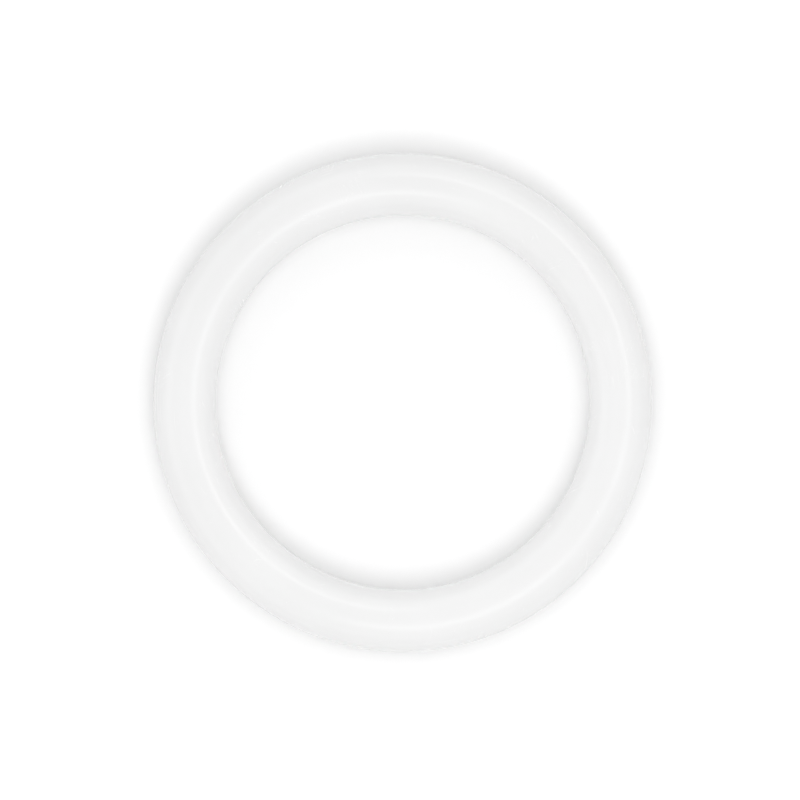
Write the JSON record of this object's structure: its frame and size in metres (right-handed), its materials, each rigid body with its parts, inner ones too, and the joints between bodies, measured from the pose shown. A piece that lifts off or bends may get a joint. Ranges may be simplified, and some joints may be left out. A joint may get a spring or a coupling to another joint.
{
  "type": "gymnastics ring",
  "caption": "Plain white gymnastics hand ring (hoop): a smooth round grip closed into a ring, moulded in half shells over a flat steel core, to hang or swing from.",
  "frame": {"origin": "centre of the ring, on the plane that the flat land of its rear shell rests on", "axes": "+Z along the ring's axis, from the rear shell towards the front shell; +X and +Y across the ring, with the screws at 22.5 degrees from +X and every 45 degrees"},
  "size_m": [0.24, 0.24, 0.0295],
  "materials": {
    "shell_plastic": "satin moulded white",
    "plug_plastic": "satin moulded white",
    "core_steel": "laser-cut plate, rolled surface",
    "screw_steel": "bright zinc plate"
  },
  "bodies": {
    "root": {"front_shell": "shell_plastic", "rear_shell": "shell_plastic", "core_ring": "core_steel", "screw_1": "screw_steel", "screw_2": "screw_steel", "screw_3": "screw_steel", "screw_4": "screw_steel", "screw_5": "screw_steel", "screw_6": "screw_steel", "screw_7": "screw_steel", "screw_8": "screw_steel", "screw_plug_1": "plug_plastic", "screw_plug_2": "plug_plastic", "screw_plug_3": "plug_plastic", "screw_plug_4": "plug_plastic", "screw_plug_5": "plug_plastic", "screw_plug_6": "plug_plastic", "screw_plug_7": "plug_plastic", "screw_plug_8": "plug_plastic"}
  },
  "joints": []
}
